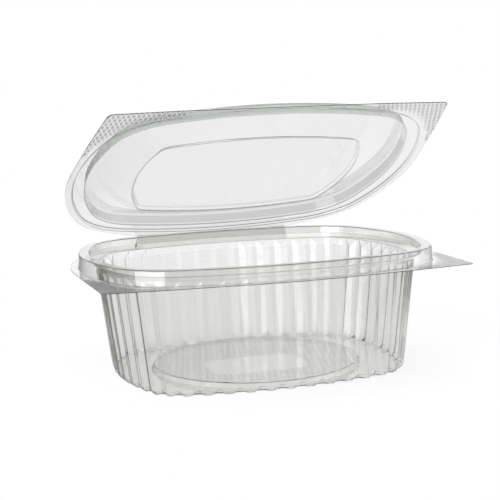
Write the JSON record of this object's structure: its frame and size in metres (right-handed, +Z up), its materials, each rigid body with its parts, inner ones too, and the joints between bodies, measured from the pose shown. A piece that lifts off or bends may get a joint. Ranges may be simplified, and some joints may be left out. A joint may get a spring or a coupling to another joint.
{
  "type": "hinged salad container",
  "caption": "Clear oval food tub with fluted walls, a hollow rim and corner tabs, with a shallow domed lid hinged along the back.",
  "frame": {"origin": "middle of the tub's foot plane, under the centre of the outline", "axes": "+Z up, +X along the length, the hinge on the +Y side and the tabs on the -Y side"},
  "size_m": [0.199, 0.1712, 0.1448],
  "materials": {
    "tub_sheet": "gloss",
    "lid_sheet": "gloss"
  },
  "bodies": {
    "tub": {"tub": "tub_sheet"},
    "lid": {"lid": "lid_sheet"}
  },
  "joints": [
    {"name": "lid_hinge", "type": "hinge", "parent": "tub", "child": "lid", "pos_m": [0, 0.08545, 0.0658], "axis": [-1, 0, 0], "range_deg": [-26.7, 153.3]}
  ]
}
